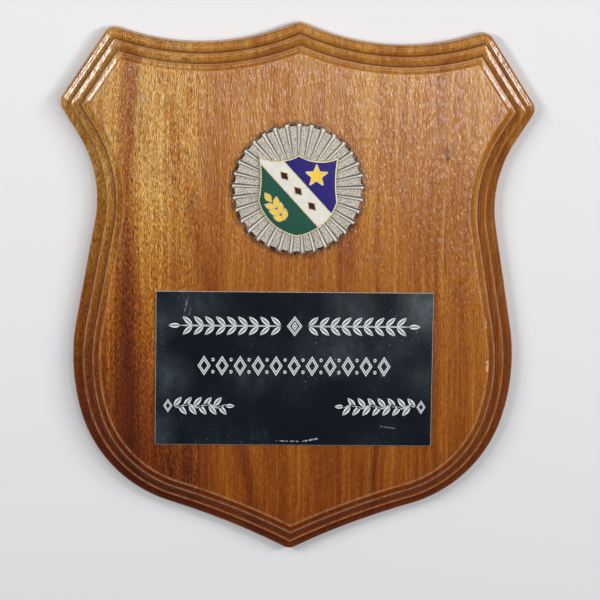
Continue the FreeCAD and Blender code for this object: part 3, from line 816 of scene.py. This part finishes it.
def dress(node, material):
    mesh = nodes[node].data
    if not mesh.materials:
        mesh.materials.append(material)
    for slot in nodes[node].material_slots:
        slot.material = material


enamels = {"blue": "#1B0570", "green": "#195042", "white": "#E8E4DA", "yellow": "#FCCD3C", "brown": "#3C0A0F"}
shield.data.materials.append(walnutLacquered(wood))
medallion.data.materials.append(silverCast(casting))
dress("crest_badge", gildingMetalBuffed())
for name, colour in enamels.items():
    dress("enamel_" + name, hardEnamel("enamel_fired_" + name, colour))
tape = foamTape()
dress("medallion_tape", tape)
dress("plate_tape", tape)

lacquer = {
    "black": "#090D13", "navy": "#131B26", "haze": "#82979E", "scratched": "#D0D4D6",
    # noises: width and height in mm, detail
    "cloud": (30.0, 30.0, 3.0), "patchy": (4.0, 6.0, 5.0), "hair": (0.25, 9.0, 1.0),
    "speck": (0.5, 0.5, 0.0), "broken": (0.9, 0.9, 2.0),
    # fades: two values of what is read, and what they turn into
    "fades": {
        "haze": (0.45, 0.8, 0.0, 0.05), "patchy": (0.3, 0.7, 0.55, 1.45), "hair": (0.72, 0.78, 0.0, 0.12),
        "speck": (0.82, 0.85, 0.0, 0.4), "marked": (0.46, 0.6, 0.0, 1.0), "broken": (0.42, 0.5, 0.0, 1.0),
        "rough": (0.0, 0.3, 0.14, 0.4),
    },
    # places hazed by rubbing, those over the upper band and corners also a painted reflection: middle
    # in plate coordinates, radius, strength
    "rubsAndSheen": [
        (-53.0, -4.0, 13.0, 0.1), (-40.0, 28.0, 14.0, 0.07), (-58.0, 20.0, 11.0, 0.1),
        (24.0, 27.0, 15.0, 0.065), (56.0, 26.0, 15.0, 0.15), (-57.0, -28.0, 10.0, 0.1),
        (-20.0, -4.0, 12.0, 0.04), (54.0, -4.0, 12.0, 0.06), (20.0, 6.0, 12.0, 0.06),
    ],
    # scratches: from, to, half width, strength
    "scratches": [
        ((-7.5, -31.0), (2.5, -31.2), 0.13, 0.7), ((3.5, -31.3), (10.6, -29.9), 0.2, 0.8),
        ((36.5, -24.4), (43.5, -25.4), 0.12, 0.3), ((-46.5, 24.0), (-45.0, 30.5), 0.12, 0.35),
        ((-44.5, 22.5), (-43.6, 27.0), 0.1, 0.25),
    ],
}


def aluminiumLacquered(p, w):
    # Aluminium sheet, lacquered navy black: a gloss face, hazed by rubbing, with a painted teal
    # reflection over its upper band and corners, and a few fine hairs and scratches that let the bare
    # metal through
    material, add = newMaterial("aluminium_lacquered_black")
    fade = w["fades"]
    centred = inMillimetres(add, keyholeUp + p["down"])
    onFace = add("Mapping", {"Vector": centred, "Rotation": (0, math.radians(p["turn"]), 0)})

    def blotches(wide, high, detail):
        # solid noise of a given width and height
        sized = add("Mapping", {"Vector": onFace, "Scale": (1 / wide, 1 / wide, 1 / high)})
        return add("TexNoise", {"Vector": sized, "Scale": 1.0, "Detail": detail})

    cloud = blotches(*w["cloud"])
    # teal hazing: rubbed places, which over the upper band and corners are a painted reflection too
    haze = add("MapRange", [cloud, *fade["haze"]])
    for x, y, radius, strength in w["rubsAndSheen"]:
        rubAndSheen = add("MapRange", [awayFrom(add, onFace, x, y), 0.0, radius, strength, 0.0])
        haze = add("Math", [haze, rubAndSheen])
    patchy = add("MapRange", [blotches(*w["patchy"]), *fade["patchy"]])
    haze = add("Math", [haze, patchy], operation="MULTIPLY")
    hair, speck, broken = (
        add("MapRange", [blotches(*w[key]), *fade[key]]) for key in ("hair", "speck", "broken")
    )
    marks = add("Math", [hair, speck], operation="MAXIMUM")
    marks = add("Math", [marks, add("MapRange", [cloud, *fade["marked"]])], operation="MULTIPLY")
    for (x0, y0), (x1, y1), half, strength in w["scratches"]:
        length = math.hypot(x1 - x0, y1 - y0)
        wayX, wayY = (x1 - x0) / length, (y1 - y0) / length
        fromStart = add("VectorMath", [onFace, (x0, 0, y0)], operation="SUBTRACT")
        along = add("VectorMath", [fromStart, (wayX, 0, wayY)], "Value", operation="DOT_PRODUCT")
        aside = add("VectorMath", [fromStart, (-wayY, 0, wayX)], "Value", operation="DOT_PRODUCT")
        aside = add("Math", [aside], operation="ABSOLUTE")
        line = add("MapRange", [aside, half, 2 * half, strength, 0.0])
        start = add("MapRange", [along, 0.0, 0.5])
        end = add("MapRange", [along, length - 0.5, length, 1.0, 0.0])
        for mask in (start, end, broken):
            line = add("Math", [line, mask], operation="MULTIPLY")
        marks = add("Math", [marks, line], operation="MAXIMUM")
    colour = hexToLinear(w["black"])
    for mask, tint in ((cloud, "navy"), (haze, "haze"), (marks, "scratched")):
        colour = add("Mix", {0: mask, 6: colour, 7: hexToLinear(w[tint])}, 2, data_type="RGBA")
    rough = add("MapRange", [haze, *fade["rough"]])
    add("OutputMaterial", [add("BsdfPrincipled", {"Base Color": colour, "Roughness": rough, "IOR": 1.5})])
    return material


def aluminiumSheared():
    # The same sheet where it was cut: bare, bright and a little torn along the edge, in marks of
    # about 0.7 mm
    material, add = newMaterial("aluminium_sheared")
    torn = add("TexNoise", {"Vector": add("TexCoord", out="Object"), "Scale": 1500.0, "Detail": 2.0})
    colour = add("ValToRGB", [torn], stops=[(0.35, "#B4B2AE"), (0.65, "#F6F4F0")])
    bump = add("Bump", {"Strength": 0.5, "Distance": 0.00005, "Height": torn})
    add("OutputMaterial", [add("BsdfPrincipled", {
        "Base Color": colour, "Metallic": 0.7, "Roughness": 0.6, "Normal": bump,
    })])
    return material


def aluminiumDiamondCut():
    # Bare aluminium where a diamond point has dragged off the lacquer: bright bands near the stroke's
    # sides, a painted highlight of the cut's walls, and a greyer floor with its tool lines along the
    # stroke, which are drawn coarser than the real 0.05 mm
    material, add = newMaterial("aluminium_diamond_cut")
    side = add("SeparateXYZ", [add("UVMap", uv_map="worked")]).node.outputs[1]
    # painted highlight: bright bands near the stroke's sides, greyer in its middle and at its very edge
    colour = add("ValToRGB", [add("Math", [side], operation="ABSOLUTE")], stops=[
        (0.0, "#A6ACB0"), (0.25, "#70767C"), (0.42, "#868C92"),
        (0.58, "#F6F8F8"), (0.95, "#FAFAF8"), (1.0, "#C0C4C6"),
    ])
    chatter = add("TexNoise", {"Vector": add("TexCoord", out="Object"), "Scale": 2800.0, "Detail": 2.0})
    bump = add("Bump", {"Strength": 0.6, "Distance": 0.00006, "Height": chatter})
    # fine tool marks scatter light in every direction, so the cut looks part dull and part metal
    add("OutputMaterial", [add("BsdfPrincipled", {
        "Base Color": colour, "Metallic": 0.45, "Roughness": 0.55, "Normal": bump,
    })])
    return material


sheet.data.materials.append(aluminiumLacquered(plate, lacquer))
sheet.data.materials.append(aluminiumSheared())
for face in sheet.data.polygons:
    face.material_index = int(abs(face.normal.y) < 0.9)
ornament.data.materials.append(aluminiumDiamondCut())
print("materials on", len(nodes), "nodes")

# Stage, lights and camera
stage = {
    "wallZ": -0.6, "reach": 1600, "holeInset": 1.5, "paper": "#EDEEF0",
    "sky": "#E6E8EC", "skyDim": 0.1, "skySeen": 0.9,
}


def stagePlane(name, loops, z, material):
    # a flat sheet: the first loop is its rim, and the others are holes in it
    flat = [[Vector(p) for p in toRow(np.c_[loop, np.full(len(loop), z)]).tolist()] for loop in loops]
    mesh = bpy.data.meshes.new(name)
    mesh.from_pydata([p for loop in flat for p in loop], [], tessellate_polygon(flat))
    plane = bpy.data.objects.new(name, mesh)
    scene.collection.objects.link(plane)
    mesh.materials.append(material)


def paperGround(tone):
    # Matt white paper; its back lets the camera through, so the plaque's back can be seen
    material, add = newMaterial("paper_matt")
    fromBehind = [add("NewGeometry", out="Backfacing"), add("LightPath", out="Is Camera Ray")]
    unseen = add("Math", fromBehind, operation="MULTIPLY")
    matt = add("BsdfDiffuse", {"Color": hexToLinear(tone)})
    add("OutputMaterial", [add("MixShader", [unseen, matt, add("BsdfTransparent")])])
    return material


# the paper lies right behind the board, with a hole in it a little smaller than the board, through
# which light from behind reaches the board's back
rim = np.array([(-1, -1), (1, -1), (1, 1), (-1, 1)]) * stage["reach"]
hole = insetRing(board, shieldStations(board), stage["holeInset"])
stagePlane("backdrop", [rim, hole], stage["wallZ"], paperGround(stage["paper"]))

lights = {
    # a long bank high in front, which lights the whole
    "bank": {"at": (-150, 640, 1230), "size": (1000, 320), "watts": 2.6},
    # three windows, one in another, that the upper right of the face mirrors with a soft edge
    "windowWide": {"at": (310, 80, 1252), "size": (560, 420), "watts": 0.65, "shape": "ELLIPSE"},
    "windowMiddle": {"at": (300, 30, 1251), "size": (420, 300), "watts": 0.85, "shape": "ELLIPSE"},
    "windowSmall": {"at": (250, 0, 1250), "size": (280, 190), "watts": 1.0, "shape": "ELLIPSE"},
    # two strips that look straight at the wall, and that the coves mirror at the upper corners
    "stripRight": {
        "at": (667, 287, 900), "size": (640, 80), "watts": 5.6, "along": (549, 302), "aimed": False,
    },
    "stripLeft": {
        "at": (-558, 282, 900), "size": (600, 80), "watts": 5.3, "along": (-493, 292), "aimed": False,
    },
    # one behind the paper, for the back alone
    "behind": {"at": (350, 420, -1300), "size": (900, 900), "watts": 15.0},
}


def softbox(name, at, size, watts, shape="RECTANGLE", along=(1, 0), aimed=True):
    # looks at the plaque's middle or straight at the wall, its long side turned along the given way
    lamp = bpy.data.lights.new(name, "AREA")
    lamp.shape, lamp.energy = shape, watts
    lamp.size, lamp.size_y = size[0] / 1000, size[1] / 1000
    light = bpy.data.objects.new(name, lamp)
    place = Vector(toRow(at))
    back = (place - Vector(toRow((0, 0, 0)))).normalized() if aimed else Vector((0, -1, 0))
    across = Vector((along[0], 0, along[1]))
    across = (across - back * across.dot(back)).normalized()
    turned = Matrix((across, back.cross(across), back)).transposed().to_4x4()
    light.matrix_world = Matrix.Translation(place) @ turned
    scene.collection.objects.link(light)


for name, values in lights.items():
    softbox(name, **values)
world = bpy.data.worlds.new("studio")
world.use_nodes = True
# the sky is dim as a light and pale where the camera sees it past the backdrop
sky = world.node_tree
seen = addNode(sky, "LightPath", out="Is Camera Ray")
strength = addNode(sky, "MapRange", [seen, 0.0, 1.0, stage["skyDim"], stage["skySeen"]])
background = sky.nodes["Background"]
background.inputs["Color"].default_value = hexToLinear(stage["sky"])
sky.links.new(strength, background.inputs["Strength"])
scene.world = world
print("backdrop and", len(lights), "lamps")

view = {
    "at": (-62.0, 237.7), "distance": 1500.0, "yaw": 2.506, "pitch": -9.374, "roll": 1.215,
    # focal length in pixels of a picture so many pixels wide, sensor in mm, and how far it sees in m
    "focal": 3520.0, "picture": 600, "sensor": 36.0, "seesTo": 20.0,
}


def makeCamera(v):
    # a long lens from above and a little to the left; the roll is how the plaque lay askew
    x, y = v["at"]
    place = Vector(toRow((x, y, math.sqrt(v["distance"] ** 2 - x * x - y * y))))
    yaw, pitch, roll = (math.radians(v[k]) for k in ("yaw", "pitch", "roll"))
    forward = Vector((math.sin(yaw) * math.cos(pitch), math.cos(yaw) * math.cos(pitch), math.sin(pitch)))
    right = Vector((math.cos(yaw), -math.sin(yaw), 0))
    up = right.cross(forward)
    across = right * math.cos(roll) + up * math.sin(roll)
    upward = up * math.cos(roll) - right * math.sin(roll)
    data = bpy.data.cameras.new("camera")
    data.sensor_width, data.lens = v["sensor"], v["focal"] / v["picture"] * v["sensor"]
    data.clip_end = v["seesTo"]
    camera = bpy.data.objects.new("camera", data)
    turned = Matrix((across, upward, -forward)).transposed().to_4x4()
    camera.matrix_world = Matrix.Translation(place) @ turned
    scene.collection.objects.link(camera)
    scene.camera = camera


makeCamera(view)
